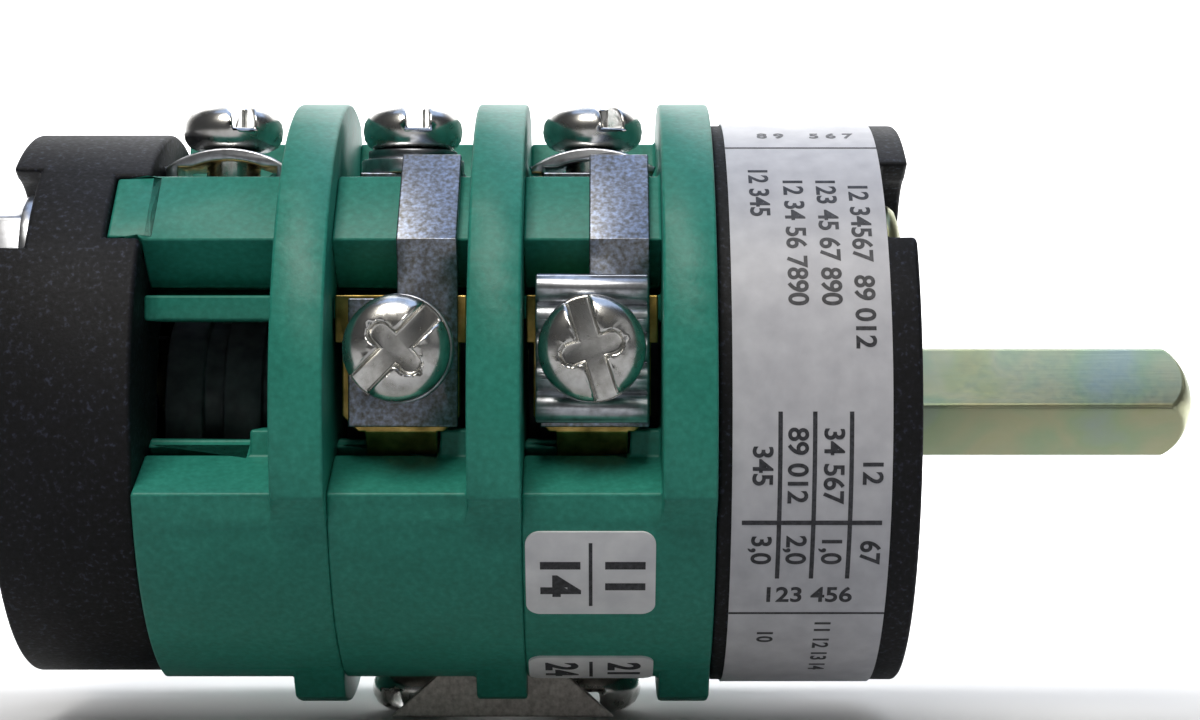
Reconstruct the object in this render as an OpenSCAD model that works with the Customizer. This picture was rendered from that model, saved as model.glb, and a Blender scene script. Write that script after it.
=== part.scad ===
// Phase selector switch: a three stage rotary cam switch for mounting behind a panel.
// X runs along the shaft to its free end, -Y faces the viewer and Z is up.
// The origin is the centre of the front plate's mounting face, on the shaft axis.
// Sections lie in the YZ plane, where an angle is counted from +Y towards +Z.
// Stage 1 is next to the rear cap and stage 3 is next to the front plate.
// Terminals are numbered 0 viewer side, 1 top, 2 back and 3 bottom.

/* [Housing] */
// Depth of the front plate along the shaft
plate_depth = 14; // [14:0.5:18]
// Radius of the green wafers between their barrier rings
body_r = 21; // [20.8:0.1:26]
// Height of the barrier rings above the wafers
ring_rise = 1.5; // [0.8:0.1:3]
// Thickness of a barrier ring along the shaft
ring_depth = 3.7; // [2.5:0.1:5]
// Depth of the open chamber of a wafer along the shaft
chamber_depth = 9.65; // [9.5:0.05:13]
// Depth of the rear cap along the shaft
cap_depth = 10; // [9:0.5:16]
// Depth of the bolt recesses in both ends
recess_depth = 2; // [1.5:0.1:2.5]
// Depth of a tie bolt's centre below the wafers' outside
bolt_depth = 6.15; // [5.5:0.05:6.5]

/* [Terminals] */
// Depth of a terminal plate's outer face below the wafers' outside
face_depth = 5; // [4.6:0.1:5.2]
// Thickness of a terminal plate
plate_stock = 1.2; // [0.8:0.1:1.4]
// Shift of a terminal towards its bolt post
shift = 4; // [3.7:0.1:4.3]
// Width of a terminal strip along the shaft
tail_w = 5; // [3.6:0.1:6]
// Radius of a terminal screw head
head_r = 3.7; // [3:0.1:3.9]
// Height of a terminal screw head
head_h = 3.4; // [2.4:0.1:4]
// Radius of a terminal screw's thread
thread_r = 2; // [1.5:0.1:2.2]
// Length of a terminal screw below its head
screw_reach = 7.4; // [5:0.1:8]
// Height of the clamp pieces between a terminal plate and its screw head
clamp_h = 2.7; // [2.6:0.1:3.5]
// Thickness of a link strip
link_stock = 0.9; // [0.6:0.1:1.1]
// Width of a link strip along the shaft
link_w = 4.2; // [3:0.1:5]
// Distance of a link strip from its screw along the shaft
link_aside = 1.9; // [0:0.1:2.2]

/* [Shaft] */
// Width across the flats of the square shaft
shaft_w = 6; // [5.4:0.1:6.2]
// Length of shaft in front of the mounting face
shaft_out = 22.8; // [10:0.1:40]
// Radius of the domed end of the shaft
dome_r = 5; // [4.6:0.1:8]
// Turn of the square shaft in the middle position
shaft_turn = 49.5; // [0:0.5:90]

/* [Cams and contacts] */
// Radius of a cam at the middle position
cam_r = 7.5; // [7.4:0.05:7.8]
// Lift of a cam over one switch position
lift = 1; // [0.6:0.05:1.05]
// Angle between two switch positions
step_angle = 60; // [45:15:60]
// Width across the flats of the six sided detent wheel
detent_w = 16; // [15:0.5:16]
// Half width of a plunger
plunger_half = 2; // [1.6:0.05:2.3]
// Half length of a contact bridge
bridge_half = 5.9; // [5.8:0.05:6]
// Distance of a contact tip from its plunger's middle
tip_at = 4.6; // [4.4:0.05:4.7]
// Radius of a contact tip
tip_r = 1.2; // [0.8:0.05:1.2]

/* [Mounting] */
// Distance between the two mounting threads
mount_pcd = 30; // [29:0.1:31]
// Radius of the hole in a threaded mounting insert
mount_hole_r = 1.65; // [1.2:0.05:2]
// Length of a mounting insert
insert_h = 6; // [4:0.5:8]

/* [Labels] */
// Bare strip of the front plate between the label and the wafers
label_edge = 1; // [0.5:0.1:4]
// Gap from the mounting face to the label
label_gap = 2.1; // [2:0.1:2.5]
// Thickness of the label and of the terminal markers
paper_t = 0.15; // [0.1:0.01:0.3]

/* [Hidden] */
$fn = 72;

// Clearances: a running fit, a loose fit, an end float and a thread
run_gap = 0.05;
side_gap = 0.1;
end_gap = 0.2;
thread_gap = 0.02;
overrun = 1;

// Places along the shaft
stages = [1, 2, 3];
pitch = chamber_depth + ring_depth;
stack_x = -plate_depth - len(stages) * pitch;
cap_x = stack_x - cap_depth;

// Directions of the two bolt posts, and of the contact chambers a and b
post_angles = [135, 315];
side_angles = [225, 45];

// Radii of the housing's parts, and reach of the bolts and the terminal plates
plate_step = 0.1;
cap_step = 0.8;
plate_r = body_r - plate_step;
cap_r = body_r - cap_step;
ring_r = body_r + ring_rise;
bolt_reach = body_r - bolt_depth;
bolt_side = bolt_reach / sqrt(2);
plate_face = body_r - face_depth;

// Outline of a terminal recess, as reach from the axis and height over it
floor_depth = 3.5;
floor_reach = plate_face - floor_depth;
floor_low = -2.6;
floor_high = 8.45;
rim_t = 1.1;
wall_reach = body_r - rim_t;
wall_low = -5.8;
post_depth = 5.9;
post_edge = 1.1;
post_reach = bolt_side + post_depth;
post_side = bolt_side + post_edge;
key_l = 2.35;
key_t = 1.6;
key_face = (post_reach + post_side) / sqrt(2);
key_inset = 0.3;
key_half = (post_reach - post_side) / sqrt(2) - key_inset;
wall_slope_share = (wall_low - floor_low) / (wall_reach - floor_reach);
ring_angle = 61;
ramp_angle = 67.7;

// Window behind a terminal plate, the bar that it rests on, and its widths
plate_low = -1.8;
bar_low = 5.96;
bar_high = 7.75;
groove_high = 8.2;
groove_reach = 9.5;
step_low = -1;
window_low = -2.5;
foot_w = 2.2;
foot_top = -1.7;
window_depth = chamber_depth - foot_w;
seat_shift = 0.025;
seat_x = chamber_depth / 2 - seat_shift;
plate_side = 0.725;
plate_corner = 1.1;
plate_w = chamber_depth - 2 * plate_side;
brow_side = 0.225;
brow_w = chamber_depth - 2 * brow_side;
brow_low = 4.4;

// Contact chamber, as distance from the axis and half width
tail_face = (plate_face - plate_low) / sqrt(2);
guide_gap = 0.5;
guide_top = tail_face - plate_stock - guide_gap;
chamber_half = 5.9;
seat_wall = 1.8;
spring_seat = body_r - seat_wall;
seat_half = 9;
contact_wall = 1.5;
cam_gap = 0.7;
cam_room = cam_r + lift + cam_gap;
hub_r = 6;
cam_t = 2.8;
cam_space = 1.5;

// Contacts and their springs
bridge_t = 1;
bridge_w = 4.5;
boss_r = 1.1;
boss_h = 0.8;
tip_h = 0.5;
fixed_tip_h = 0.33;
contact_gap = 1.08;
bridge_face = tail_face + fixed_tip_h + contact_gap + tip_h;
tail_end = 3;
slot_stop = 0.14;
slot_l = (plate_face + plate_low) / sqrt(2) - chamber_half - slot_stop;
spring_r = 1.9;
spring_wire = 0.4;

// Terminal hardware
head_shares = [
    [0, 0], [0.72, 0], [0.88, 0.08], [0.97, 0.24], [1, 0.42], [0.975, 0.6],
    [0.89, 0.77], [0.74, 0.89], [0.52, 0.965], [0.26, 0.995], [0, 1]
];
slot_w = 1.6;
slot_depth = 1.9;
cross_l = 4.4;
slot_turns = [[0, 20, 65, 0], [-45, 10, 80, 35], [17, 25, 50, 5]];
saddle_margin = 0.325;
saddle_half = chamber_depth / 2 - saddle_margin;
arch_rise = 1.4;
saddle_t = 0.9;
saddle_lap = 0.02;
saddle_l = 7;
clamp_w = 7.8;
flat_washer_r = 3.8;
spring_washer_r = 3.3;
spring_washer_t = 0.7;
washer_split = 0.6;
ribbed_l = 10.2;
ribbed_root = 1.1;
ribs = 5;
rib_share = 0.92;
eye_w = 7.2;
eye_low = 5.45;
eye_high = 3.5;
bend_depth = 6;
link_bend = plate_face - bend_depth;
knee_rise = 0.4;
knee_reach = post_reach + knee_rise;
knee_drop = 0.2;
knee_side = post_side - knee_drop;
bridge_strip_t = 1.2;
bridge_strip_half = 3.2;
lip_t = 0.9;
lip_front = 5.1;
lip_reach = shift + lip_front;
lip_neck = 6.4;
lip_edge = 16.5;
lip_h = 4.5;

// Bolts with their heads in front and nuts behind
bolt_r = 2;
bolt_head_r = 3.8;
bolt_head_h = 1.5;
dome_shares = [[0, 0], [1, 0], [1, 0.35], [0.9, 0.65], [0.65, 0.9], [0.3, 1], [0, 1]];
bolt_end = 0.6;
washer_r = 4.5;
washer_t = 0.8;
nut_w = 7;
nut_h = 3.2;
recess_r = 5.7;
mouth_half = 3.1;
insert_r = 2.8;

// Detent and stop inside the front plate
front_wall = 4.9;
stop_depth = 2.6;
stop_r = 7;
lug_r = 9.8;
lug_angle = 15;
lug_gap_angle = 0.5;
driver_r = 5.5;
detent_room = detent_w / sqrt(3) + cam_gap;
leaf_t = 0.5;
leaf_half = 10;
leaf_room = 1;
leaf_w = plate_depth - front_wall - stop_depth - leaf_room;
flex_half = 7.5;
flex_room = 1.8;
leaf_face = detent_w / 2 + run_gap;

// Rear end of the shaft
rear_wall = 3;
clip_room = 3;
bush_r = 4.8;
clip_r = 5;
clip_t = 0.8;
clip_slot = 5.2;
corner_r = 4.05;

// Width of the label, and the terminal markers on stage 3
label_w = plate_depth - label_gap - label_edge;
marker_x = 0.2;
marker_margin = 0.45;
marker_w = chamber_depth - marker_x - marker_margin;
marker_heights = [7.2, 5];
marker_corner = 1;
marker_angles = [213.8, 246];

// Place of a stage's chamber, and of its terminals' centres, along the shaft
function stage_x(n) = stack_x + (n - 1) * pitch;
function terminal_x(n) = stage_x(n) + seat_x;

// Terminals that a stage has: stage 1 has no contact on side a
function terminals_of(n) = n == 1 ? [1, 2] : [0, 1, 2, 3];
function sides_of(n) = n == 1 ? [1] : [0, 1];
function linked(n, k) = n > 1 && k < 2;
function bridged(n, k) = n > 1 && k == 3;

// Heights over the axis of the clamp pieces and the screw heads
function clamp_base(n, k) = plate_face + (linked(n, k) ? link_stock : 0);
clamp_top = plate_face + clamp_h;
function head_base(n, k) =
    clamp_top + (bridged(n, k) ? bridge_strip_t + spring_washer_t : 0);

function polar(r, angle) = [r * cos(angle), r * sin(angle)];

// Turns points given as reach and height at the viewer side to terminal k
function lay(points, k) = [
    for (p = points) (k < 2 ? 1 : -1) * (k % 2 == 0 ? [-p[0], p[1]] : [-p[1], p[0]])
];

// Outline of a bent strip: a path, and its copy moved to the left by t
function unit(v) = v / norm(v);
function left(v) = [-v[1], v[0]];
function moved(path, i, t) =
    let (
        last = len(path) - 1,
        before = left(unit(path[max(i, 1)] - path[max(i, 1) - 1])),
        after = left(unit(path[min(i + 1, last)] - path[min(i + 1, last) - 1])),
        middle = unit(before + after)
    )
    path[i] + middle * t / (middle * before);
function strip(path, t) =
    concat(path, [for (i = [len(path) - 1:-1:0]) moved(path, i, t)]);

// Radius of a cam at an angle: it falls past side b and rises past side a
function cam_radius(angle) =
    let (a = (angle - side_angles[1] + step_angle + 360) % 360)
    a < 2 * step_angle ? cam_r + lift * (1 - a / step_angle)
        : a < 180 ? cam_r - lift
        : a < 180 + 2 * step_angle ? cam_r + lift * ((a - 180) / step_angle - 1)
        : cam_r + lift;

module rod(from, to, r, place = [0, 0]) {
    translate([from, place[0], place[1]])
        rotate([0, 90, 0])
            cylinder(h = to - from, r = r);
}

module slab(from, to) {
    translate([from, 0, 0])
        rotate([90, 0, 90])
            linear_extrude(height = to - from)
                children();
}

// Stands children on terminal k, with z pointing outwards from the axis
module at_terminal(n, k) {
    side = k < 2 ? shift : -shift;
    place = k % 2 == 0 ? [0, side] : [-side, 0];
    translate([terminal_x(n), place[0], place[1]])
        rotate([[90, 0, -90, 180][k], 0, 0])
            children();
}

// Stands children on side s of stage n, with y pointing outwards from the axis
module at_side(n, s) {
    translate([terminal_x(n), 0, 0])
        rotate([side_angles[s], 0, 0])
            children();
}

module square_hole() {
    rotate(shaft_turn)
        square(shaft_w + 2 * run_gap, center = true);
}

module sector(r, half) {
    polygon(concat([[0, 0]], [for (i = [-2:2]) polar(r, i * half / 2)]));
}

module bolt_holes(from, to) {
    for (angle = post_angles)
        rod(from, to, bolt_r + side_gap, polar(bolt_reach, angle));
}

module end_recesses(from, to) {
    slab(from, to)
        for (angle = post_angles)
            rotate(angle) {
                translate([bolt_reach, 0])
                    circle(recess_r);
                polygon([
                    [bolt_reach, -recess_r], [bolt_reach, recess_r],
                    [ring_r, mouth_half], [ring_r, -mouth_half]
                ]);
            }
}

module front_plate() {
    star_x = -front_wall - stop_depth;
    color("#1e1f28")
        difference() {
            rod(-plate_depth, 0, plate_r);
            end_recesses(-recess_depth, overrun);
            bolt_holes(-plate_depth - overrun, overrun);
            rod(-plate_depth, overrun, driver_r + run_gap);
            slab(star_x - overrun, -front_wall) {
                circle(stop_r + side_gap);
                intersection() {
                    circle(lug_r + side_gap);
                    rotate(post_angles[0])
                        sector(2 * lug_r, step_angle + lug_angle + lug_gap_angle);
                }
            }
            rod(-plate_depth - overrun, star_x, detent_room);
            slab(-plate_depth - overrun, star_x)
                for (angle = side_angles)
                    rotate(angle) {
                        translate([0, -leaf_half - run_gap])
                            square([leaf_face + leaf_t, 2 * (leaf_half + run_gap)]);
                        translate([0, -flex_half])
                            square([leaf_face + leaf_t + flex_room, 2 * flex_half]);
                    }
            for (angle = side_angles)
                rod(-insert_h - overrun, overrun, insert_r + thread_gap,
                    polar(mount_pcd / 2, angle));
        }
}

module rating_label() {
    color("#c9ccd6")
        difference() {
            rod(-label_gap - label_w, -label_gap, plate_r + paper_t);
            rod(-label_gap - label_w - overrun, -label_gap + overrun, plate_r);
        }
}

module mounting_inserts() {
    color("#b09a4a")
        for (angle = side_angles)
            difference() {
                rod(-insert_h, 0, insert_r, polar(mount_pcd / 2, angle));
                rod(-insert_h - overrun, overrun, mount_hole_r,
                    polar(mount_pcd / 2, angle));
            }
}

module terminal_recess(k) {
    post_mid = (post_reach + post_side) / 2;
    polygon(lay([
        [floor_reach, floor_low], [floor_reach, floor_high],
        [post_reach, post_side], [post_mid, post_mid], [ring_r, ring_r],
        [ring_r, floor_low + wall_slope_share * (ring_r - floor_reach)]
    ], k));
}

// Point on a barrier ring's end ramp, at a share of the way from rim to body
function ramp_point(way, share) =
    polar(ring_r, way * ring_angle) * (1 - share)
        + polar(body_r, way * ramp_angle) * share;

module barrier_ring() {
    foot_share = 1.5;
    circle(body_r);
    intersection() {
        circle(ring_r);
        for (angle = post_angles)
            rotate(angle)
                polygon([
                    [0, 0], ramp_point(-1, foot_share), ramp_point(-1, 0),
                    polar(2 * ring_r, -ring_angle), polar(2 * ring_r, 0),
                    polar(2 * ring_r, ring_angle),
                    ramp_point(1, 0), ramp_point(1, foot_share)
                ]);
    }
}

// One contact chamber with its plunger guide and the slots for two strips
module contact_chamber() {
    intersection() {
        circle(body_r - contact_wall);
        polygon([
            [guide_top, -chamber_half], [spring_seat, -seat_half],
            [spring_seat, seat_half], [guide_top, chamber_half]
        ]);
    }
    translate([0, -plunger_half - run_gap])
        square([guide_top + overrun, 2 * (plunger_half + run_gap)]);
}

module wafer(n) {
    from = stage_x(n);
    rest = plate_face - plate_stock;
    color("#3f8c7c")
        difference() {
            union() {
                slab(from, from + chamber_depth) {
                    difference() {
                        circle(body_r);
                        for (k = [0:3])
                            terminal_recess(k);
                    }
                    for (k = [0:3])
                        polygon(lay([
                            [floor_reach, step_low], [rest, step_low],
                            [rest, bar_high], [floor_reach, bar_high]
                        ], k));
                }
                slab(from + window_depth, from + chamber_depth)
                    for (k = [0:3])
                        polygon(lay([
                            [floor_reach, wall_low], [rest, wall_low],
                            [rest, step_low], [floor_reach, step_low]
                        ], k));
                if (n == 1)
                    slab(from - key_l, from + overrun)
                        for (angle = post_angles)
                            rotate(angle)
                                translate([key_face - key_t, -key_half])
                                    square([key_t, 2 * key_half]);
                slab(from + chamber_depth, from + pitch)
                    barrier_ring();
            }
            rod(from - overrun, from + chamber_depth, cam_room);
            rod(from, from + pitch + overrun, hub_r + side_gap);
            bolt_holes(from - overrun, from + pitch + overrun);
            slab(from - overrun, from + chamber_depth)
                for (angle = side_angles)
                    rotate(angle)
                        contact_chamber();
            slab(from - overrun, from + seat_x + tail_w / 2)
                for (angle = side_angles, way = [0, 1])
                    rotate(angle)
                        mirror([0, way])
                            translate([tail_face - plate_stock, chamber_half - overrun])
                                square([plate_stock + side_gap, slot_l]);
            for (cut = [[window_depth, window_low], [chamber_depth, foot_top]])
                slab(from - overrun, from + cut[0])
                    for (k = [0:3])
                        polygon(lay([
                            [hub_r, cut[1]], [rest + overrun, cut[1]],
                            [rest + overrun, bar_low], [hub_r, bar_low]
                        ], k));
            slab(from - overrun, from + chamber_depth)
                for (k = [0:3])
                    polygon(lay([
                        [groove_reach, bar_high], [floor_reach + overrun, bar_high],
                        [floor_reach + overrun, groove_high], [groove_reach, groove_high]
                    ], k));
            if (n == 2)
                at_terminal(n, 3)
                    translate([chamber_depth - seat_x - run_gap,
                        -bridge_strip_half - side_gap, clamp_top - side_gap])
                        cube([ring_depth + overrun,
                            bridge_strip_half + lip_reach + 2 * side_gap, ring_r]);
        }
}

module rear_cap() {
    color("#1e1f28")
        difference() {
            rod(cap_x, stack_x, cap_r);
            end_recesses(cap_x - overrun, cap_x + recess_depth);
            bolt_holes(cap_x - overrun, stack_x + overrun);
            slab(stack_x - key_l - side_gap, stack_x + overrun)
                for (angle = post_angles)
                    rotate(angle)
                        translate([key_face - key_t - side_gap, -key_half - side_gap])
                            square([key_t + ring_rise, 2 * (key_half + side_gap)]);
            rod(stack_x - clip_room, stack_x + overrun, cam_room);
            rod(cap_x + rear_wall, stack_x, bush_r + run_gap);
        }
}

module rounded(w, h, r) {
    square([w - 2 * r, h], center = true);
    square([w, h - 2 * r], center = true);
    for (x = [-1, 1], y = [-1, 1])
        translate([x * (w / 2 - r), y * (h / 2 - r)])
            circle(r);
}

module terminal_markers() {
    from = stage_x(3) + marker_x;
    color("#e8e8ea")
        for (i = [0, 1])
            difference() {
                intersection() {
                    rod(from - overrun, from + marker_w + overrun, body_r + paper_t);
                    rotate([marker_angles[i], 0, 0])
                        translate([from + marker_w / 2, body_r / 2, 0])
                            rotate([-90, 0, 0])
                                linear_extrude(height = body_r)
                                    rounded(marker_w, marker_heights[i], marker_corner);
                }
                rod(from - 2 * overrun, from + marker_w + 2 * overrun, body_r);
            }
}

module tie_bolts() {
    end_x = cap_x + recess_depth - washer_t - nut_h - bolt_end;
    color("#a98f5c")
        for (angle = post_angles) {
            rod(end_x, -recess_depth, bolt_r, polar(bolt_reach, angle));
            translate(concat([-recess_depth], polar(bolt_reach, angle)))
                rotate([0, 90, 0])
                    rotate_extrude()
                        polygon([
                            for (p = dome_shares) [p[0] * bolt_head_r, p[1] * bolt_head_h]
                        ]);
        }
}

module tie_washers() {
    face_x = cap_x + recess_depth;
    color("#c2c6cc")
        for (angle = post_angles)
            difference() {
                rod(face_x - washer_t, face_x, washer_r, polar(bolt_reach, angle));
                rod(face_x - washer_t - overrun, face_x + overrun,
                    bolt_r + side_gap, polar(bolt_reach, angle));
            }
}

module tie_nuts() {
    face_x = cap_x + recess_depth - washer_t;
    color("#c2c6cc")
        for (angle = post_angles)
            difference() {
                slab(face_x - nut_h, face_x)
                    translate(polar(bolt_reach, angle))
                        rotate(angle)
                            circle(r = nut_w / sqrt(3), $fn = 6);
                rod(face_x - nut_h - overrun, face_x + overrun,
                    bolt_r + thread_gap, polar(bolt_reach, angle));
            }
}

// Brass terminal plates, each bent at its low end into a strip
module terminals(n) {
    middle = terminal_x(n);
    rest = plate_face - plate_stock;
    tail_path = [
        [plate_face, bar_high], [plate_face, plate_low],
        [(tail_face + tail_end) / sqrt(2), (tail_end - tail_face) / sqrt(2)]
    ];
    color("#b09a4a")
        for (k = terminals_of(n))
            difference() {
                union() {
                    slab(middle - tail_w / 2, middle + tail_w / 2)
                        polygon(lay(strip(tail_path, -plate_stock), k));
                    at_terminal(n, k)
                        mirror([0, k % 2, 0])
                            translate([0, 0, rest])
                                linear_extrude(height = plate_stock)
                                    polygon([
                                        [-plate_w / 2, bar_high - shift],
                                        [-plate_w / 2, plate_low - shift + plate_corner],
                                        [plate_corner - plate_w / 2, plate_low - shift],
                                        [plate_w / 2 - plate_corner, plate_low - shift],
                                        [plate_w / 2, plate_low - shift + plate_corner],
                                        [plate_w / 2, bar_high - shift]
                                    ]);
                    slab(middle - brow_w / 2, middle + brow_w / 2)
                        polygon(lay([
                            [rest, brow_low], [plate_face, brow_low],
                            [plate_face, bar_high], [rest, bar_high]
                        ], k));
                }
                at_terminal(n, k)
                    cylinder(h = plate_face + overrun, r = thread_r + thread_gap);
            }
}

module fixed_tips(n) {
    color("#d9dbe0")
        for (s = sides_of(n), way = [-1, 1])
            at_side(n, s)
                translate([0, tail_face, way * tip_at])
                    rotate([-90, 0, 0])
                        cylinder(h = fixed_tip_h, r = tip_r);
}

module screws(n) {
    color("#b9bcc4")
        for (k = terminals_of(n))
            at_terminal(n, k) {
                base = head_base(n, k);
                translate([0, 0, base - screw_reach])
                    cylinder(h = screw_reach, r = thread_r);
                difference() {
                    translate([0, 0, base])
                        rotate_extrude()
                            polygon([for (p = head_shares) [p[0] * head_r, p[1] * head_h]]);
                    translate([0, 0, base + head_h - slot_depth])
                        rotate(slot_turns[n - 1][k])
                            linear_extrude(height = slot_depth + overrun) {
                                square([slot_w, 2 * head_r + overrun], center = true);
                                square([cross_l - slot_w, slot_w], center = true);
                                for (end = [-1, 1])
                                    translate([end * (cross_l - slot_w) / 2, 0])
                                        circle(slot_w / 2);
                            }
                }
            }
}

module screw_hole() {
    cylinder(h = clamp_top + overrun, r = thread_r + side_gap);
}

// Arched saddle washer that stands on the terminal plate with two short legs
module saddle(base) {
    foot = clamp_top - arch_rise;
    bend_r = (saddle_half * saddle_half + arch_rise * arch_rise) / (2 * arch_rise);
    difference() {
        rotate([90, 0, 0])
            linear_extrude(height = saddle_l, center = true) {
                intersection() {
                    translate([0, clamp_top - bend_r])
                        difference() {
                            circle(bend_r);
                            circle(bend_r - saddle_t);
                        }
                    translate([-saddle_half, foot])
                        square([2 * saddle_half, arch_rise + overrun]);
                }
                for (way = [0, 1])
                    mirror([way, 0])
                        translate([saddle_half - saddle_t, base])
                            square([saddle_t, foot - base + saddle_lap]);
            }
        screw_hole();
    }
}

module saddles(n) {
    color("#c2c6cc")
        for (k = n == 2 ? [2, 3] : n == 3 ? [1, 2, 3] : [1, 2])
            at_terminal(n, k)
                saddle(clamp_base(n, k));
}

// Flat washers over the link of stage 2, at the viewer side and at the top
module flat_washers() {
    h = clamp_h - link_stock - spring_washer_t;
    color("#b8bac0")
        for (k = [0, 1])
            at_terminal(2, k)
                difference() {
                    translate([0, 0, clamp_base(2, k)])
                        cylinder(h = h, r = flat_washer_r);
                    screw_hole();
                }
}

module spring_washer(top) {
    difference() {
        translate([0, 0, top - spring_washer_t])
            cylinder(h = spring_washer_t, r = spring_washer_r);
        cylinder(h = top + overrun, r = thread_r + side_gap);
        translate([-washer_split / 2, 0, top - spring_washer_t - overrun])
            cube([washer_split, 2 * spring_washer_r, spring_washer_t + 2 * overrun]);
    }
}

module spring_washers() {
    color("#9a9ca2")
        for (place = [[2, 0], [2, 1], [2, 3], [3, 3]])
            at_terminal(place[0], place[1])
                spring_washer(head_base(place[0], place[1]));
}

// Long clamp with round cross ribs under the screw at the viewer side of stage 3
module ribbed_clamp() {
    base = clamp_base(3, 0);
    root = base + ribbed_root;
    rib = ribbed_l / ribs;
    half = rib_share * rib / 2;
    rise = clamp_top - root;
    rib_r = (half * half + rise * rise) / (2 * rise);
    color("#b8bac0")
        at_terminal(3, 0)
            difference() {
                translate([-clamp_w / 2, 0, 0])
                    rotate([90, 0, 90])
                        linear_extrude(height = clamp_w) {
                            translate([-ribbed_l / 2, base])
                                square([ribbed_l, ribbed_root]);
                            intersection() {
                                for (i = [0:ribs - 1])
                                    translate([(i + 0.5) * rib - ribbed_l / 2, clamp_top - rib_r])
                                        circle(rib_r);
                                translate([-ribbed_l / 2, root - saddle_lap])
                                    square([ribbed_l, rise + overrun]);
                            }
                        }
                screw_hole();
            }
}

// Bent strip that joins the top terminal of a stage to the one facing the viewer
module link(n) {
    middle = terminal_x(n);
    near = shift - eye_low;
    far = shift + eye_high;
    aside = middle + link_aside;
    color("#a3acc0")
        difference() {
            union() {
                slab(aside - link_w / 2, aside + link_w / 2)
                    polygon(lay(strip([
                        [near, plate_face], [link_bend, plate_face],
                        [knee_side, knee_reach], [knee_reach, knee_side],
                        [plate_face, link_bend], [plate_face, near]
                    ], link_stock), 0));
                slab(middle - eye_w / 2, middle + eye_w / 2)
                    for (k = [0, 1])
                        polygon(lay([
                            [plate_face, near], [plate_face + link_stock, near],
                            [plate_face + link_stock, far], [plate_face, far]
                        ], k));
            }
            for (k = [0, 1])
                at_terminal(n, k)
                    screw_hole();
        }
}

// Strip with a flared lip that joins the bottom terminals of stages 2 and 3,
// through a notch in the barrier ring between them
module bottom_bridge() {
    color("#c9ccd2")
        difference() {
            translate([-pitch / 2, 0, 0])
                at_terminal(3, 3) {
                    translate([-pitch / 2 - head_r, -bridge_strip_half, clamp_top])
                        cube([pitch + 2 * head_r, bridge_strip_half + lip_reach,
                            bridge_strip_t]);
                    translate([0, lip_reach, clamp_top])
                        rotate([90, 0, 0])
                            linear_extrude(height = lip_t)
                                polygon([
                                    [-lip_neck / 2, 0], [lip_neck / 2, 0],
                                    [lip_edge / 2, lip_h], [-lip_edge / 2, lip_h]
                                ]);
                }
            for (n = [2, 3])
                at_terminal(n, 3)
                    cylinder(h = clamp_top + bridge_strip_t + overrun,
                        r = thread_r + side_gap);
        }
}

module detent_springs() {
    color("#c9ccd2")
        slab(-plate_depth + end_gap, -plate_depth + end_gap + leaf_w)
            for (angle = side_angles)
                rotate(angle)
                    translate([leaf_face, -leaf_half])
                        square([leaf_t, 2 * leaf_half]);
}

// Square bar turned down to rounded corners and a domed free end
module square_shaft() {
    end_x = cap_x + rear_wall + 2 * end_gap;
    groove_x = stack_x - clip_room / 2;
    dome_x = shaft_out - dome_r;
    dome_angle = asin(corner_r / dome_r);
    dome_steps = 8;
    color("#8fa08c")
        difference() {
            intersection() {
                slab(end_x, shaft_out)
                    rotate(shaft_turn)
                        square(shaft_w, center = true);
                translate([end_x, 0, 0])
                    rotate([0, 90, 0])
                        rotate_extrude()
                            polygon(concat([[0, 0], [corner_r, 0]], [
                                for (i = [dome_steps:-1:0])
                                    let (a = dome_angle * i / dome_steps)
                                    [dome_r * sin(a), dome_x - end_x + dome_r * cos(a)]
                            ]));
            }
            slab(groove_x - run_gap, groove_x + clip_t + run_gap)
                rotate(shaft_turn)
                    difference() {
                        square(2 * shaft_w, center = true);
                        square(clip_slot, center = true);
                    }
        }
}

module stop_disc() {
    back_x = -front_wall - stop_depth + end_gap;
    color("#3a3c44")
        difference() {
            union() {
                rod(back_x, -end_gap, driver_r);
                slab(back_x, -front_wall - end_gap) {
                    circle(stop_r);
                    intersection() {
                        circle(lug_r);
                        rotate(post_angles[0])
                            sector(2 * lug_r, lug_angle);
                    }
                }
            }
            slab(back_x - overrun, overrun)
                square_hole();
        }
}

module detent_wheel() {
    color("#e4e0d4")
        slab(-plate_depth + end_gap, -front_wall - stop_depth)
            difference() {
                rotate(side_angles[1] - 30)
                    circle(r = detent_w / sqrt(3), $fn = 6);
                square_hole();
            }
}

// Two equal lobed discs on one hub that runs in the wafer's wall
module cam(n) {
    from = stage_x(n) + side_gap;
    color("#8a8d92")
        difference() {
            union() {
                rod(from, stage_x(n) + pitch - side_gap, hub_r);
                for (x = [from, from + cam_t + cam_space])
                    slab(x, x + cam_t)
                        polygon([for (angle = [0:5:355]) polar(cam_radius(angle), angle)]);
            }
            slab(from - overrun, stage_x(n) + pitch + overrun)
                square_hole();
        }
}

module rear_bush() {
    color("#d8c9a0")
        slab(cap_x + rear_wall + end_gap, stack_x - clip_room)
            difference() {
                circle(bush_r);
                square_hole();
            }
}

module retaining_clip() {
    x = stack_x - clip_room / 2;
    color("#3c3d40")
        slab(x, x + clip_t)
            rotate(shaft_turn)
                difference() {
                    circle(clip_r);
                    translate([-clip_slot / 2 - thread_gap, -clip_slot / 2 - thread_gap])
                        square([clip_slot + 2 * thread_gap, clip_r + clip_slot]);
                }
}

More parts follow.
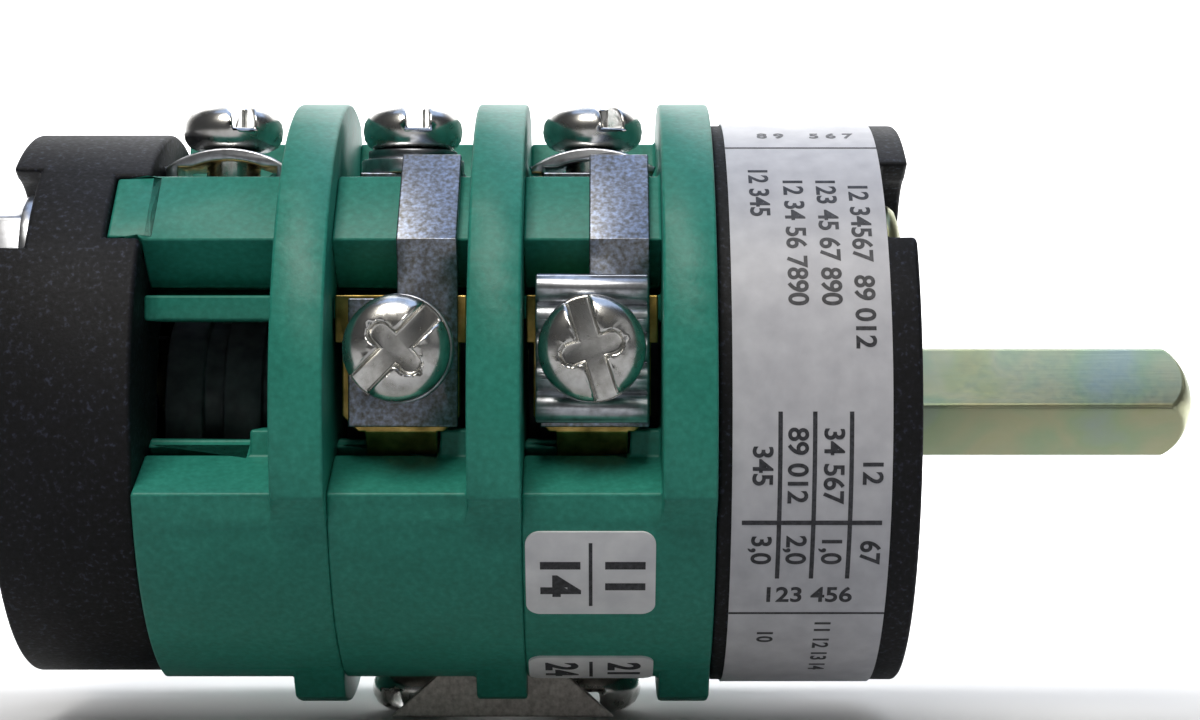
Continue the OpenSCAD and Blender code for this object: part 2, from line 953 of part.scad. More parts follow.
// Plunger with a round nose on the cam and a boss that centres the bridge
module plunger(n, s) {
    nose = cam_r + run_gap;
    w = chamber_depth - 2 * side_gap;
    color("#e4e0d4")
        at_side(n, s) {
            translate([side_gap - seat_x, nose + plunger_half, -plunger_half])
                cube([w, bridge_face - nose - plunger_half, 2 * plunger_half]);
            translate([side_gap - seat_x, nose + plunger_half, 0])
                rotate([0, 90, 0])
                    cylinder(h = w, r = plunger_half);
            translate([0, bridge_face - overrun, 0])
                rotate([-90, 0, 0])
                    cylinder(h = overrun + bridge_t + boss_h, r = boss_r);
        }
}

module bridge(n, s) {
    color("#c08a4a")
        at_side(n, s)
            difference() {
                translate([-bridge_w / 2, bridge_face, -bridge_half])
                    cube([bridge_w, bridge_t, 2 * bridge_half]);
                translate([0, bridge_face - overrun, 0])
                    rotate([-90, 0, 0])
                        cylinder(h = bridge_t + 2 * overrun, r = boss_r + thread_gap);
            }
}

module tips(n, s) {
    color("#d9dbe0")
        at_side(n, s)
            for (way = [-1, 1])
                translate([0, bridge_face - tip_h, way * tip_at])
                    rotate([-90, 0, 0])
                        cylinder(h = tip_h, r = tip_r);
}

module contact_spring(n, s) {
    color("#a9adb5")
        at_side(n, s)
            translate([0, bridge_face + bridge_t, 0])
                rotate([-90, 0, 0])
                    difference() {
                        cylinder(h = spring_seat - bridge_face - bridge_t, r = spring_r);
                        translate([0, 0, -overrun])
                            cylinder(h = spring_seat, r = spring_r - spring_wire);
                    }
}

front_plate();
rating_label();
mounting_inserts();
wafer(1);  // wafer_1
wafer(2);  // wafer_2
wafer(3);  // wafer_3
rear_cap();
terminal_markers();
tie_bolts();
tie_washers();
tie_nuts();
terminals(1);  // terminals_1
terminals(2);  // terminals_2
terminals(3);  // terminals_3
fixed_tips(1);  // fixed_tips_1
fixed_tips(2);  // fixed_tips_2
fixed_tips(3);  // fixed_tips_3
screws(1);  // screws_1
screws(2);  // screws_2
screws(3);  // screws_3
saddles(1);  // saddles_1
saddles(2);  // saddles_2
saddles(3);  // saddles_3
flat_washers();
spring_washers();
ribbed_clamp();
link(2);  // link_2
link(3);  // link_3
bottom_bridge();
detent_springs();
square_shaft();
stop_disc();
detent_wheel();
cam(1);  // cam_1
cam(2);  // cam_2
cam(3);  // cam_3
rear_bush();
retaining_clip();
plunger(1, 1);  // plunger_1b
bridge(1, 1);  // bridge_1b
tips(1, 1);  // tips_1b
contact_spring(1, 1);  // spring_1b
plunger(2, 0);  // plunger_2a
bridge(2, 0);  // bridge_2a
tips(2, 0);  // tips_2a
contact_spring(2, 0);  // spring_2a
plunger(2, 1);  // plunger_2b
bridge(2, 1);  // bridge_2b
tips(2, 1);  // tips_2b
contact_spring(2, 1);  // spring_2b
plunger(3, 0);  // plunger_3a
bridge(3, 0);  // bridge_3a
tips(3, 0);  // tips_3a
contact_spring(3, 0);  // spring_3a
plunger(3, 1);  // plunger_3b
bridge(3, 1);  // bridge_3b
tips(3, 1);  // tips_3b
contact_spring(3, 1);  // spring_3b
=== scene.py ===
import math

import bmesh
import bpy
from mathutils import Matrix, Vector


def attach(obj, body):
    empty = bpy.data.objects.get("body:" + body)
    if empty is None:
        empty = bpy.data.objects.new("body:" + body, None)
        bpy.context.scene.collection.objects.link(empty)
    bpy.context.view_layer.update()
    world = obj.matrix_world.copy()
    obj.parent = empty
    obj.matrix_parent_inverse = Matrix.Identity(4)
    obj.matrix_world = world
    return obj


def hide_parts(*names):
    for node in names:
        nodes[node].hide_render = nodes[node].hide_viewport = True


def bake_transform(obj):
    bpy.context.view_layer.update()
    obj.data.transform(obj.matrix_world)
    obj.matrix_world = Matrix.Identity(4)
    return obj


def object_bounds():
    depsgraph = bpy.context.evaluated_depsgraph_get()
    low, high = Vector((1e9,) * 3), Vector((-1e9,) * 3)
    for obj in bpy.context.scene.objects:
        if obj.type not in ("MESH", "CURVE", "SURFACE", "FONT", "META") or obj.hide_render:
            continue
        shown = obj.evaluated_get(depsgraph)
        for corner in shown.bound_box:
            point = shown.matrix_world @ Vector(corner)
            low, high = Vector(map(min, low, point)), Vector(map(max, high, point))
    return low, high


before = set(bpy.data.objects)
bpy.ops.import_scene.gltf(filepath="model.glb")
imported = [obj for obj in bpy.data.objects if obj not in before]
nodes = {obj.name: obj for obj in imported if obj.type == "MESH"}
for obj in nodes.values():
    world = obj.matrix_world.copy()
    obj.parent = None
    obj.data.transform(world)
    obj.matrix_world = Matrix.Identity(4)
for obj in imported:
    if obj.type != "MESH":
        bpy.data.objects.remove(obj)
cad_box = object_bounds()
MM = 0.001

# Camera: level, at the viewer's side, about 0.2 m from the shaft axis.
# The picture is 1200 wide and about 13 pixels to the millimetre at the axis.
camera = bpy.data.objects.new("camera", bpy.data.cameras.new("camera"))
bpy.context.scene.collection.objects.link(camera)
camera.data.sensor_width = 36
camera.data.lens = 77.4
camera.data.clip_start = 0.01
camera.location = (-22 * MM, -196 * MM, 3.2 * MM)
camera.rotation_euler = (math.radians(90), 0, 0)
bpy.context.scene.camera = camera


# Front plate: a black housing of mineral-filled thermoset, moulded, that holds the detent.
# Its bolt recess opens to the rim, and its skin is matt with a fine pale speckle.
def colour(code):
    """The linear colour of an sRGB hex value."""
    parts = [int(code[i:i + 2], 16) / 255 for i in (0, 2, 4)]
    return [p / 12.92 if p <= 0.04045 else ((p + 0.055) / 1.055) ** 2.4 for p in parts] + [1.0]


def fill(tree, node, sockets):
    """Gives each named socket of a node its value, or its link from another node."""
    for name, value in sockets.items():
        if isinstance(value, bpy.types.NodeSocket):
            tree.links.new(value, node.inputs[name])
        else:
            node.inputs[name].default_value = value


def add(tree, kind, sockets=None, stops=None, **settings):
    """Adds a shader node with its settings, its values or links by socket, and its colour stops."""
    made = tree.nodes.new("ShaderNode" + kind)
    for name, value in settings.items():
        setattr(made, name, value)
    fill(tree, made, sockets or {})
    for place, (at, code) in enumerate(stops or []):
        band = made.color_ramp.elements
        stop = band[place] if place < 2 else band.new(at)
        stop.position = at
        stop.color = colour(code)
    return made


def new_finish(name):
    """A new material: its tree, its shader and the place of a point on the object."""
    made = bpy.data.materials.new(name)
    made.use_nodes = True
    tree = made.node_tree
    shader = tree.nodes["Principled BSDF"]
    place = add(tree, "TexCoord").outputs["Object"]
    return made, tree, shader, place


def moulded(name, finish, body="housing", width=0.2, rounds=2, turn=32, weld=0.002):
    """A merged copy of a node's mesh with rounded edges, which stands for the node."""
    work = bmesh.new()
    work.from_mesh(nodes[name].data)
    bmesh.ops.remove_doubles(work, verts=work.verts, dist=weld * MM)
    bmesh.ops.dissolve_limit(work, angle_limit=math.radians(0.8), verts=work.verts,
                             edges=work.edges, delimit={"NORMAL"})
    for face in work.faces:
        face.smooth = True
    mesh = bpy.data.meshes.new(name + "_moulded")
    work.to_mesh(mesh)
    work.free()
    piece = bpy.data.objects.new(name + "_moulded", mesh)
    bpy.context.scene.collection.objects.link(piece)
    mesh.materials.append(finish)
    edge = piece.modifiers.new("edge", "BEVEL")
    edge.width = width * MM
    edge.segments = rounds
    edge.limit_method = "ANGLE"
    edge.angle_limit = math.radians(turn)
    edge.use_clamp_overlap = False
    edge.harden_normals = True
    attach(piece, body)
    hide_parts(name)
    return piece


def painted(name, finish):
    """Gives a node of the frame its finish."""
    mesh = nodes[name].data
    mesh.materials.clear()
    mesh.materials.append(finish)


# Black thermoset, moulded in a spark-eroded tool: matt, with grey mineral specks and a cool sheen.
# The specks are about 0.35 mm apart and the tool grain 0.2 mm.
black_moulding, tree, shader, place = new_finish("thermoset_black_moulded")
specks = add(tree, "TexNoise", {"Vector": place, "Scale": 1 / (0.35 * MM), "Detail": 3.0})
cloud = add(tree, "TexNoise", {"Vector": place, "Scale": 1 / (9 * MM), "Detail": 2.0})
tone = add(tree, "ValToRGB", {"Fac": specks.outputs["Fac"]},
           [(0.38, "08090D"), (0.74, "34394A"), (0.58, "0E0F15")])
shade = add(tree, "ValToRGB", {"Fac": cloud.outputs["Fac"]}, [(0.3, "C8C8CC"), (0.7, "FFFFFF")])
mixed = add(tree, "Mix", {"Factor": 1.0, 6: tone.outputs["Color"], 7: shade.outputs["Color"]},
            data_type="RGBA", blend_type="MULTIPLY")
gloss = add(tree, "MapRange", {"Value": specks.outputs["Fac"], "To Min": 0.78, "To Max": 0.55})
grain = add(tree, "TexNoise", {"Vector": place, "Scale": 1 / (0.2 * MM), "Detail": 2.0})
bump = add(tree, "Bump", {"Height": grain.outputs["Fac"], "Strength": 0.35, "Distance": 0.06 * MM})
fill(tree, shader, {"Base Color": mixed.outputs[2], "Roughness": gloss.outputs["Result"],
                    "Normal": bump.outputs["Normal"], "IOR": 1.48, "Specular IOR Level": 0.35})

moulded("front_plate", black_moulding, width=0.35, rounds=3)


# Rating label: a strip of white polyester film wrapped round the front plate.
# It is printed in black with rows of plain numbers, a ruled table and two cross lines.
label_film, tree, shader, place = new_finish("label_polyester_printed")
fibre = add(tree, "TexNoise", {"Vector": place, "Scale": 1 / (1.6 * MM), "Detail": 5.0})
tone = add(tree, "ValToRGB", {"Fac": fibre.outputs["Fac"]}, [(0.3, "B9BAC1"), (0.7, "CBCCD2")])
wave = add(tree, "TexNoise", {"Vector": place, "Scale": 1 / (2.5 * MM), "Detail": 2.0})
bump = add(tree, "Bump", {"Height": wave.outputs["Fac"], "Strength": 0.25, "Distance": 0.1 * MM})
fill(tree, shader, {"Base Color": tone.outputs["Color"], "Normal": bump.outputs["Normal"],
                    "Roughness": 0.42, "IOR": 1.5})
painted("rating_label", label_film)

label_face = 21.05
ink_rise = 0.02
text_run = 0.4
rule_run = 0.8
print_parts = []


def wrapped(work, radius, middle):
    """Rolls a flat drawing round the shaft axis: its height runs down the viewer's side."""
    for point in work.verts:
        x, down, up = point.co
        angle = math.radians(middle) - down / radius
        reach = radius + up
        point.co = Vector((x, -reach * math.cos(angle), reach * math.sin(angle))) * MM


def drawn_text(words, size, x, angle, upright=False, radius=label_face, weight=0.03):
    """Plain numbers, drawn flat and rolled on: downwards with their heads to the shaft's end."""
    curve = bpy.data.curves.new("numbers", "FONT")
    curve.body = words
    curve.size = size / 0.7
    curve.extrude = ink_rise / 2
    curve.offset = weight * size
    curve.align_x = "CENTER"
    curve.align_y = "CENTER"
    source = bpy.data.objects.new("numbers", curve)
    bpy.context.scene.collection.objects.link(source)
    bpy.context.view_layer.update()
    mesh = bpy.data.meshes.new_from_object(source)
    bpy.data.objects.remove(source)
    work = bmesh.new()
    work.from_mesh(mesh)
    bmesh.ops.remove_doubles(work, verts=work.verts, dist=0.0005)
    for point in work.verts:
        across, up, rise = point.co
        if upright:
            point.co = Vector((x + across, -up, rise + ink_rise / 2))
        else:
            point.co = Vector((x + up, across, rise + ink_rise / 2))
    reach = max(abs(point.co.y) for point in work.verts)
    runs = round(reach / text_run)
    for run in range(-runs, runs + 1):
        bmesh.ops.bisect_plane(work, geom=work.verts[:] + work.edges[:] + work.faces[:],
                               plane_co=(0, run * text_run, 0), plane_no=(0, 1, 0))
    bmesh.ops.recalc_face_normals(work, faces=work.faces)
    wrapped(work, radius, angle)
    print_parts.append(work)


def drawn_rule(x, wide, top, bottom, radius=label_face):
    """A printed bar from one angle to another, wide along the shaft."""
    work = bmesh.new()
    down = math.radians(top - bottom) * radius
    bmesh.ops.create_grid(work, x_segments=1, y_segments=max(2, round(down / rule_run)), size=0.5,
                          matrix=Matrix.Diagonal((wide, down, 1, 1)))
    bmesh.ops.solidify(work, geom=work.faces[:], thickness=-ink_rise)
    bmesh.ops.translate(work, verts=work.verts, vec=(x, 0, 0))
    low = min(point.co.z for point in work.verts)
    bmesh.ops.translate(work, verts=work.verts, vec=(0, 0, -low))
    bmesh.ops.recalc_face_normals(work, faces=work.faces)
    wrapped(work, radius, (top + bottom) / 2)
    print_parts.append(work)


def joined(name, parts):
    """One object from several pieces of mesh work."""
    whole = bmesh.new()
    for part in parts:
        mesh = bpy.data.meshes.new("part")
        part.to_mesh(mesh)
        part.free()
        whole.from_mesh(mesh)
        bpy.data.meshes.remove(mesh)
    mesh = bpy.data.meshes.new(name)
    whole.to_mesh(mesh)
    whole.free()
    piece = bpy.data.objects.new(name, mesh)
    bpy.context.scene.collection.objects.link(piece)
    return piece


# Screen ink: a flat dark grey film, slightly worn where the fibres of the film rise.
ink, tree, shader, place = new_finish("screen_ink_dark")
wear = add(tree, "TexNoise", {"Vector": place, "Scale": 1 / (0.3 * MM), "Detail": 3.0})
tone = add(tree, "ValToRGB", {"Fac": wear.outputs["Fac"]}, [(0.35, "25262B"), (0.8, "4A4B52")])
fill(tree, shader, {"Base Color": tone.outputs["Color"], "Roughness": 0.5})

for words, x, angle in [
        ("12 34567  89 012", -3.95, 29.5), ("123 45 67 890", -6.2, 34.5),
        ("12 34 56 7890", -8.5, 34.5), ("12 345", -10.9, 46)]:
    drawn_text(words, 1.35, x, angle)
for x in (-4.9, -7.4, -9.75):
    drawn_rule(x, 0.3, -0.8, -34.5)
drawn_rule(-7.5, 9.6, -21.7, -22.6)
for words, x, angle in [
        ("12", -3.5, -12), ("34 567", -6.15, -11), ("89 012", -8.6, -11), ("345", -11, -11),
        ("67", -3.5, -28.5), ("1,0", -6.15, -28), ("2,0", -8.6, -28), ("3,0", -11, -28)]:
    drawn_text(words, 1.35, x, angle)
drawn_text("123 456", 1.35, -7.6, -38.8, upright=True)
for top in (61.6, -43.4):
    drawn_rule(-7.55, 10.9, top, top - 0.5)
for words, x, angle in [("5 6 7", -5.2, 68), ("8 9", -9.6, 68), ("10", -10.4, -51),
                        ("11 12 13 14", -6.4, -56)]:
    drawn_text(words, 1.1, x, angle, upright=angle > 0)
rating_print = joined("rating_print", print_parts)
rating_print.data.materials.append(ink)
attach(rating_print, "housing")


# Contact wafers: teal green moulded polyester with glass fibre, stacked on the tie bolts.
# Each carries a barrier ring on its shaft side and a recess for every terminal.
green_moulding, tree, shader, place = new_finish("polyester_green_moulded")
fibre = add(tree, "TexNoise", {"Vector": place, "Scale": 1 / (0.45 * MM), "Detail": 4.0})
flow = add(tree, "TexNoise", {"Vector": place, "Scale": 1 / (5 * MM), "Detail": 3.0,
                              "Distortion": 0.6})
tone = add(tree, "ValToRGB", {"Fac": fibre.outputs["Fac"]},
           [(0.3, "28806F"), (0.75, "369583"), (0.52, "2D8A79")])
shade = add(tree, "ValToRGB", {"Fac": flow.outputs["Fac"]}, [(0.3, "EEF2F1"), (0.7, "FFFFFF")])
mixed = add(tree, "Mix", {"Factor": 1.0, 6: tone.outputs["Color"], 7: shade.outputs["Color"]},
            data_type="RGBA", blend_type="MULTIPLY")
gloss = add(tree, "MapRange", {"Value": flow.outputs["Fac"], "To Min": 0.38, "To Max": 0.5})
grain = add(tree, "TexNoise", {"Vector": place, "Scale": 1 / (0.3 * MM), "Detail": 3.0})
bump = add(tree, "Bump", {"Height": grain.outputs["Fac"], "Strength": 0.3, "Distance": 0.05 * MM})
fill(tree, shader, {"Base Color": mixed.outputs[2], "Roughness": gloss.outputs["Result"],
                    "Normal": bump.outputs["Normal"], "IOR": 1.54, "Specular IOR Level": 0.3})

for stage in (1, 2, 3):
    moulded(f"wafer_{stage}", green_moulding, width=0.22, rounds=2)


# Rear cap: the black moulded end of the stack, of the same thermoset as the front plate.
moulded("rear_cap", black_moulding, width=0.35, rounds=3)


# Terminal markers: two white stickers of cast vinyl on stage 3, rounded at the corners.
# Each is divided by a line and bears a plain number on either side of it.
marker_film, tree, shader, place = new_finish("marker_vinyl_printed")
cloud = add(tree, "TexNoise", {"Vector": place, "Scale": 1 / (2 * MM), "Detail": 4.0})
tone = add(tree, "ValToRGB", {"Fac": cloud.outputs["Fac"]}, [(0.3, "DADBE0"), (0.7, "EDEEF1")])
bump = add(tree, "Bump", {"Height": cloud.outputs["Fac"], "Strength": 0.2, "Distance": 0.1 * MM})
fill(tree, shader, {"Base Color": tone.outputs["Color"], "Normal": bump.outputs["Normal"],
                    "Roughness": 0.3, "IOR": 1.5})
painted("terminal_markers", marker_film)

marker_face = 21.15
print_parts = []
for angle, half, size, numbers in ((-33.8, 7.5, 2.6, ("14", "11")), (-66, 4.8, 2.2, ("24", "21"))):
    drawn_rule(-22.65, 0.25, angle + half, angle - half, radius=marker_face)
    drawn_text(numbers[0], size, -24.9, angle, radius=marker_face, weight=0.05)
    drawn_text(numbers[1], size, -20.4, angle, radius=marker_face, weight=0.05)
marker_print = joined("marker_print", print_parts)
marker_print.data.materials.append(ink)
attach(marker_print, "housing")


# Tie bolts, washers and nuts: steel, cold headed and plated, that clamp the stack together.
# The bolts are passivated yellow, the washers and nuts bright zinc.
yellow_zinc, tree, shader, place = new_finish("steel_yellow_zinc_plated")
bath = add(tree, "TexNoise", {"Vector": place, "Scale": 1 / (11 * MM), "Detail": 3.0,
                              "Distortion": 0.6})
tone = add(tree, "ValToRGB", {"Fac": bath.outputs["Fac"]},
           [(0.3, "A3A078"), (0.72, "98A698"), (0.42, "A2A780"), (0.5, "A9AA8A"), (0.6, "98A888")])
pits = add(tree, "TexNoise", {"Vector": place, "Scale": 1 / (0.5 * MM), "Detail": 4.0})
gloss = add(tree, "MapRange", {"Value": pits.outputs["Fac"], "To Min": 0.24, "To Max": 0.46})
drawn = add(tree, "Mapping", {"Vector": place, "Scale": (0.06, 1.0, 1.0)})
lines = add(tree, "TexNoise", {"Vector": drawn.outputs["Vector"], "Scale": 1 / (0.25 * MM),
                               "Detail": 2.0})
bump = add(tree, "Bump", {"Height": lines.outputs["Fac"], "Strength": 0.3, "Distance": 0.03 * MM})
fill(tree, shader, {"Base Color": tone.outputs["Color"], "Roughness": gloss.outputs["Result"],
                    "Normal": bump.outputs["Normal"], "Metallic": 1.0})
moulded("tie_bolts", yellow_zinc, width=0.12)

bright_zinc, tree, shader, place = new_finish("steel_bright_zinc_plated")
spots = add(tree, "TexNoise", {"Vector": place, "Scale": 1 / (0.8 * MM), "Detail": 5.0})
tone = add(tree, "ValToRGB", {"Fac": spots.outputs["Fac"]},
           [(0.3, "9C9EA2"), (0.7, "D2D5DA"), (0.5, "BFC2C8")])
gloss = add(tree, "MapRange", {"Value": spots.outputs["Fac"], "To Min": 0.42, "To Max": 0.22})
bump = add(tree, "Bump", {"Height": spots.outputs["Fac"], "Strength": 0.2, "Distance": 0.04 * MM})
fill(tree, shader, {"Base Color": tone.outputs["Color"], "Roughness": gloss.outputs["Result"],
                    "Normal": bump.outputs["Normal"], "Metallic": 1.0})
moulded("tie_washers", bright_zinc, width=0.1)
moulded("tie_nuts", bright_zinc, width=0.25)


# Mounting inserts and terminal strips: brass, turned or stamped, with warm cut edges.
brass, tree, shader, place = new_finish("brass_stamped")
tarnish = add(tree, "TexNoise", {"Vector": place, "Scale": 1 / (1.5 * MM), "Detail": 5.0})
tone = add(tree, "ValToRGB", {"Fac": tarnish.outputs["Fac"]},
           [(0.3, "7A6A38"), (0.72, "CDB06C"), (0.5, "A98F50")])
gloss = add(tree, "MapRange", {"Value": tarnish.outputs["Fac"], "To Min": 0.45, "To Max": 0.25})
bump = add(tree, "Bump", {"Height": tarnish.outputs["Fac"], "Strength": 0.2, "Distance": 0.04 * MM})
fill(tree, shader, {"Base Color": tone.outputs["Color"], "Roughness": gloss.outputs["Result"],
                    "Normal": bump.outputs["Normal"], "Metallic": 1.0})
moulded("mounting_inserts", brass, width=0.12)
for stage in (1, 2, 3):
    moulded(f"terminals_{stage}", brass, width=0.12)


# Terminal screws: M4 steel screws, nickel plated, with a slot and a cross in a rounded head.
nickel, tree, shader, place = new_finish("steel_nickel_plated")
haze = add(tree, "TexNoise", {"Vector": place, "Scale": 1 / (0.9 * MM), "Detail": 5.0})
tone = add(tree, "ValToRGB", {"Fac": haze.outputs["Fac"]},
           [(0.3, "BCBAB4"), (0.7, "EEEDEA"), (0.5, "DAD9D5")])
gloss = add(tree, "MapRange", {"Value": haze.outputs["Fac"], "To Min": 0.34, "To Max": 0.16})
bump = add(tree, "Bump", {"Height": haze.outputs["Fac"], "Strength": 0.15, "Distance": 0.04 * MM})
fill(tree, shader, {"Base Color": tone.outputs["Color"], "Roughness": gloss.outputs["Result"],
                    "Normal": bump.outputs["Normal"], "Metallic": 1.0})
for stage in (1, 2, 3):
    moulded(f"screws_{stage}", nickel, width=0.22, rounds=3)
    moulded(f"saddles_{stage}", bright_zinc, width=0.15)


# Clamp pieces of stages 2 and 3: stamped washers and one long ribbed clamp under the heads.
moulded("flat_washers", bright_zinc, width=0.12)
moulded("ribbed_clamp", bright_zinc, width=0.12)
spring_steel, tree, shader, place = new_finish("spring_steel_oiled")
temper = add(tree, "TexNoise", {"Vector": place, "Scale": 1 / (1.2 * MM), "Detail": 4.0})
tone = add(tree, "ValToRGB", {"Fac": temper.outputs["Fac"]}, [(0.3, "6E7075"), (0.7, "A6A9AF")])
gloss = add(tree, "MapRange", {"Value": temper.outputs["Fac"], "To Min": 0.4, "To Max": 0.25})
fill(tree, shader, {"Base Color": tone.outputs["Color"], "Roughness": gloss.outputs["Result"],
                    "Metallic": 1.0})
moulded("spring_washers", spring_steel, width=0.12)
painted("detent_springs", spring_steel)


# Link strips and the bottom strip: copper, stamped, bent and tinned in a bath.
# The tin has gone dull in fine specks and keeps a bluish shine on the flats.
tinned, tree, shader, place = new_finish("copper_tinned_stamped")
specks = add(tree, "TexNoise", {"Vector": place, "Scale": 1 / (0.3 * MM), "Detail": 5.0})
smear = add(tree, "TexNoise", {"Vector": place, "Scale": 1 / (4 * MM), "Detail": 3.0})
tone = add(tree, "ValToRGB", {"Fac": specks.outputs["Fac"]},
           [(0.3, "6A6862"), (0.7, "9FAABF"), (0.5, "868990")])
gloss = add(tree, "MapRange", {"Value": smear.outputs["Fac"], "To Min": 0.5, "To Max": 0.32})
bump = add(tree, "Bump", {"Height": specks.outputs["Fac"], "Strength": 0.3, "Distance": 0.03 * MM})
fill(tree, shader, {"Base Color": tone.outputs["Color"], "Roughness": gloss.outputs["Result"],
                    "Normal": bump.outputs["Normal"], "Metallic": 1.0})
for name in ("link_2", "link_3"):
    moulded(name, tinned, width=0.12)

# The bottom strip is matt, and its tin is a lighter, warmer grey than the links' tin: that
# lightness is a painted reflection of the pale floor below it.
painted_reflection_tin, tree, shader, place = new_finish("copper_tinned_painted_reflection")
specks = add(tree, "TexNoise", {"Vector": place, "Scale": 1 / (0.35 * MM), "Detail": 5.0})
# Painted reflection: these stops are lighter and warmer than the links' tin, standing in for the
# floor seen in the strip.
tone = add(tree, "ValToRGB", {"Fac": specks.outputs["Fac"]},
           [(0.3, "A8A29C"), (0.7, "D2CDC8"), (0.5, "BFB9B4")])
bump = add(tree, "Bump", {"Height": specks.outputs["Fac"], "Strength": 0.3, "Distance": 0.03 * MM})
fill(tree, shader, {"Base Color": tone.outputs["Color"], "Normal": bump.outputs["Normal"],
                    "Metallic": 1.0, "Roughness": 0.62})
moulded("bottom_bridge", painted_reflection_tin, width=0.12)


# Contacts: silver tips on the fixed strips and on the copper bridges of the carriers.
silver, tree, shader, place = new_finish("silver_pressed")
sulphide = add(tree, "TexNoise", {"Vector": place, "Scale": 1 / (0.8 * MM), "Detail": 4.0})
tone = add(tree, "ValToRGB", {"Fac": sulphide.outputs["Fac"]}, [(0.3, "B4B3AE"), (0.7, "E6E6E4")])
fill(tree, shader, {"Base Color": tone.outputs["Color"], "Roughness": 0.3, "Metallic": 1.0})
copper, tree, shader, place = new_finish("copper_rolled")
tarnish = add(tree, "TexNoise", {"Vector": place, "Scale": 1 / (1 * MM), "Detail": 4.0})
tone = add(tree, "ValToRGB", {"Fac": tarnish.outputs["Fac"]}, [(0.3, "8A5A3A"), (0.7, "C98B62")])
fill(tree, shader, {"Base Color": tone.outputs["Color"], "Roughness": 0.35, "Metallic": 1.0})
for stage in (1, 2, 3):
    painted(f"fixed_tips_{stage}", silver)


# Plungers: white acetal, moulded and slippery, with a round nose that runs on a cam.
acetal, tree, shader, place = new_finish("acetal_white_moulded")
cloud = add(tree, "TexNoise", {"Vector": place, "Scale": 1 / (2 * MM), "Detail": 3.0})
tone = add(tree, "ValToRGB", {"Fac": cloud.outputs["Fac"]}, [(0.3, "CFCEC6"), (0.7, "E4E3DC")])
fill(tree, shader, {"Base Color": tone.outputs["Color"], "Roughness": 0.35, "IOR": 1.48})

# Contact springs: wound wire between a bridge, which moves, and the wafer's wall, which doesn't.
first_stage_x = -54.05
stage_pitch = 13.35
seat_x = 4.8
bridge_back = 15.5
spring_seat = 19.2
spring_r = 1.9
wire_r = 0.2
turns = 5
steps = 20
for side, way in (("1b", 45), ("2a", 225), ("2b", 45), ("3a", 225), ("3b", 45)):
    body = "carrier_" + side
    moulded("plunger_" + side, acetal, body=body, width=0.1)
    moulded("bridge_" + side, copper, body=body, width=0.12)
    painted("tips_" + side, silver)
    centre_x = first_stage_x + (int(side[0]) - 1) * stage_pitch + seat_x
    work = bmesh.new()
    bmesh.ops.create_circle(work, cap_ends=True, segments=8, radius=wire_r,
                            matrix=Matrix.Translation((spring_r - wire_r, 0, wire_r))
                            @ Matrix.Rotation(math.radians(90), 4, "X"))
    rise = (spring_seat - bridge_back - 2 * wire_r) / (turns * steps)
    bmesh.ops.spin(work, geom=work.faces[:] + work.edges[:] + work.verts[:], cent=(0, 0, 0),
                   axis=(0, 0, 1), dvec=(0, 0, rise), angle=turns * math.tau,
                   steps=turns * steps, use_duplicate=False)
    bmesh.ops.remove_doubles(work, verts=work.verts, dist=0.0001)
    bmesh.ops.recalc_face_normals(work, faces=work.faces)
    out = Vector((0, math.cos(math.radians(way)), math.sin(math.radians(way))))
    turn = Vector((0, 0, 1)).rotation_difference(out).to_matrix().to_4x4()
    seat = Matrix.Translation(Vector((centre_x, 0, 0)) + out * bridge_back)
    bmesh.ops.transform(work, matrix=Matrix.Scale(MM, 4) @ seat @ turn, verts=work.verts)
    for face in work.faces:
        face.smooth = True
    coil = joined("contact_spring_" + side, [work])
    coil.data.materials.append(spring_steel)
    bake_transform(coil)
    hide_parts("spring_" + side)


# Drive shaft: square cold-drawn steel with a turned and domed end, passivated yellow.
moulded("square_shaft", yellow_zinc, body="rotor", width=0.18, rounds=3)

# Cams and stop disc: grey moulded nylon, keyed on the shaft.
nylon, tree, shader, place = new_finish("nylon_grey_moulded")
cloud = add(tree, "TexNoise", {"Vector": place, "Scale": 1 / (1.2 * MM), "Detail": 4.0})
tone = add(tree, "ValToRGB", {"Fac": cloud.outputs["Fac"]}, [(0.3, "474A4D"), (0.7, "64686B")])
bump = add(tree, "Bump", {"Height": cloud.outputs["Fac"], "Strength": 0.2, "Distance": 0.05 * MM})
fill(tree, shader, {"Base Color": tone.outputs["Color"], "Normal": bump.outputs["Normal"],
                    "Roughness": 0.5, "IOR": 1.53})
for name in ("cam_1", "cam_2", "cam_3", "stop_disc"):
    moulded(name, nylon, body="rotor", width=0.15)
moulded("detent_wheel", acetal, body="rotor", width=0.15)

# Rear bush and retaining clip: a turned tan bush and a blued clip that hold the shaft's rear end.
bush, tree, shader, place = new_finish("laminate_tan_turned")
layers = add(tree, "TexNoise", {"Vector": place, "Scale": 1 / (0.7 * MM), "Detail": 4.0})
tone = add(tree, "ValToRGB", {"Fac": layers.outputs["Fac"]}, [(0.3, "8A6A42"), (0.7, "B08A58")])
fill(tree, shader, {"Base Color": tone.outputs["Color"], "Roughness": 0.5})
blued, tree, shader, place = new_finish("spring_steel_blued")
film = add(tree, "TexNoise", {"Vector": place, "Scale": 1 / (1.5 * MM), "Detail": 3.0})
tone = add(tree, "ValToRGB", {"Fac": film.outputs["Fac"]}, [(0.3, "2E3238"), (0.7, "4A4F58")])
fill(tree, shader, {"Base Color": tone.outputs["Color"], "Roughness": 0.4, "Metallic": 1.0})
moulded("rear_bush", bush, body="rotor", width=0.1)
moulded("retaining_clip", blued, body="rotor", width=0.08)


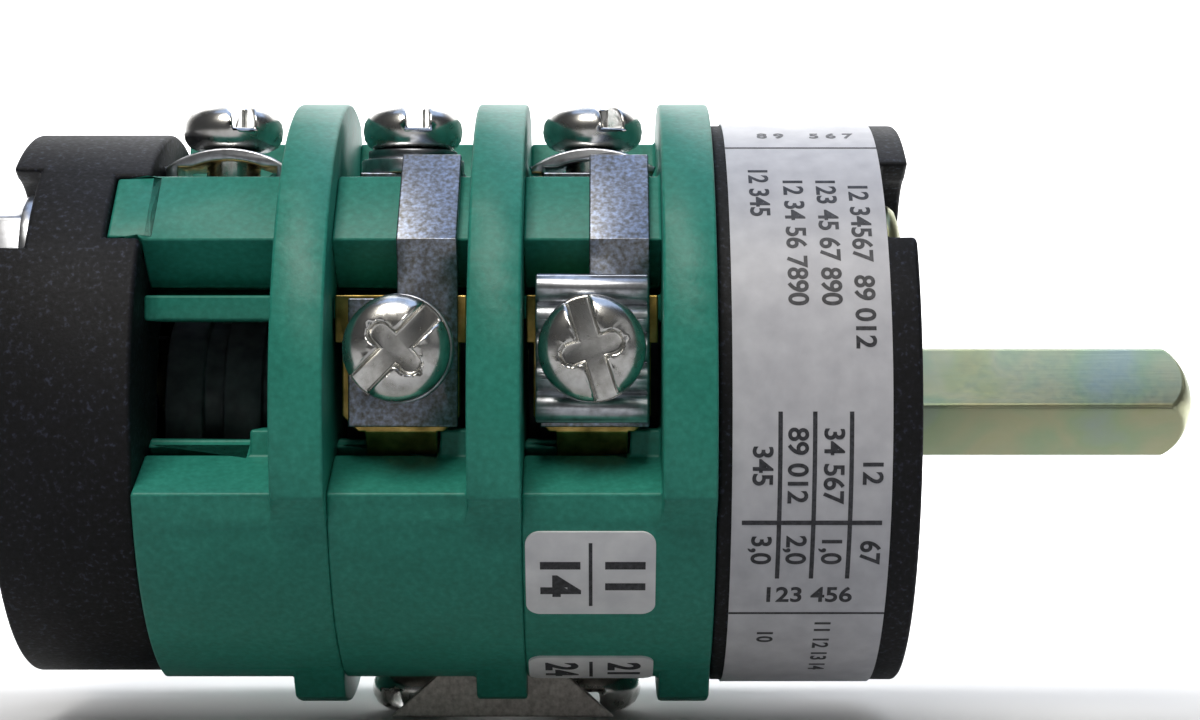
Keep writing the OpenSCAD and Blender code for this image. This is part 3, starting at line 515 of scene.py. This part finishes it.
# Floor: a plain pale sheet that sweeps up behind the switch, with soft studio light.
lowest = cad_box[0][2]
sheet_half = 3
sheet_front = -1.5
cove_back = 0.6
cove_r = 0.4
wall_height = 2
work = bmesh.new()
start = [work.verts.new((-sheet_half, y, lowest)) for y in (sheet_front, cove_back)]
work.edges.new(start)
bmesh.ops.spin(work, geom=[start[1]], cent=(-sheet_half, cove_back, lowest + cove_r),
               axis=(1, 0, 0), angle=math.radians(90), steps=16, use_duplicate=False)
top = max(work.verts, key=lambda point: point.co.z)
wall = bmesh.ops.extrude_vert_indiv(work, verts=[top])
bmesh.ops.translate(work, verts=wall["verts"], vec=(0, 0, wall_height))
sheet = bmesh.ops.extrude_edge_only(work, edges=work.edges[:])
bmesh.ops.translate(work, verts=[v for v in sheet["geom"] if isinstance(v, bmesh.types.BMVert)],
                    vec=(2 * sheet_half, 0, 0))
bmesh.ops.recalc_face_normals(work, faces=work.faces)
for face in work.faces:
    face.smooth = True
floor = joined("floor", [work])
paper, tree, shader, place = new_finish("backdrop_paper")
fill(tree, shader, {"Base Color": colour("B8B8B8"), "Roughness": 0.9})
floor.data.materials.append(paper)

for name, spot, size, watts, tint in (
        ("key_light", (-0.12, -0.36, 0.56), 0.3, 3.2, "FFFAF2"),
        ("top_light", (0.05, 0.12, 0.6), 0.6, 1.1, "B8D2FF"),
        ("fill_light", (0.5, -0.4, 0.3), 0.4, 0.12, "FFFFFF")):
    lamp = bpy.data.objects.new(name, bpy.data.lights.new(name, "AREA"))
    bpy.context.scene.collection.objects.link(lamp)
    lamp.data.size = size
    lamp.data.energy = watts
    lamp.data.color = colour(tint)[:3]
    lamp.location = spot
    aim = Vector((-0.025, 0, 0)) - Vector(spot)
    lamp.rotation_euler = aim.to_track_quat("-Z", "Y").to_euler()

wash = bpy.data.objects.new("backdrop_light", bpy.data.lights.new("backdrop_light", "AREA"))
bpy.context.scene.collection.objects.link(wash)
wash.data.size = 1.2
wash.data.energy = 65.0
wash.location = (0, 0.22, 0.7)
wash.rotation_euler = (math.radians(72), 0, 0)

world = bpy.data.worlds.new("studio")
bpy.context.scene.world = world
world.use_nodes = True
world.node_tree.nodes["Background"].inputs["Color"].default_value = colour("F4F6FA")
world.node_tree.nodes["Background"].inputs["Strength"].default_value = 0.05
bpy.context.scene.view_settings.view_transform = "Standard"
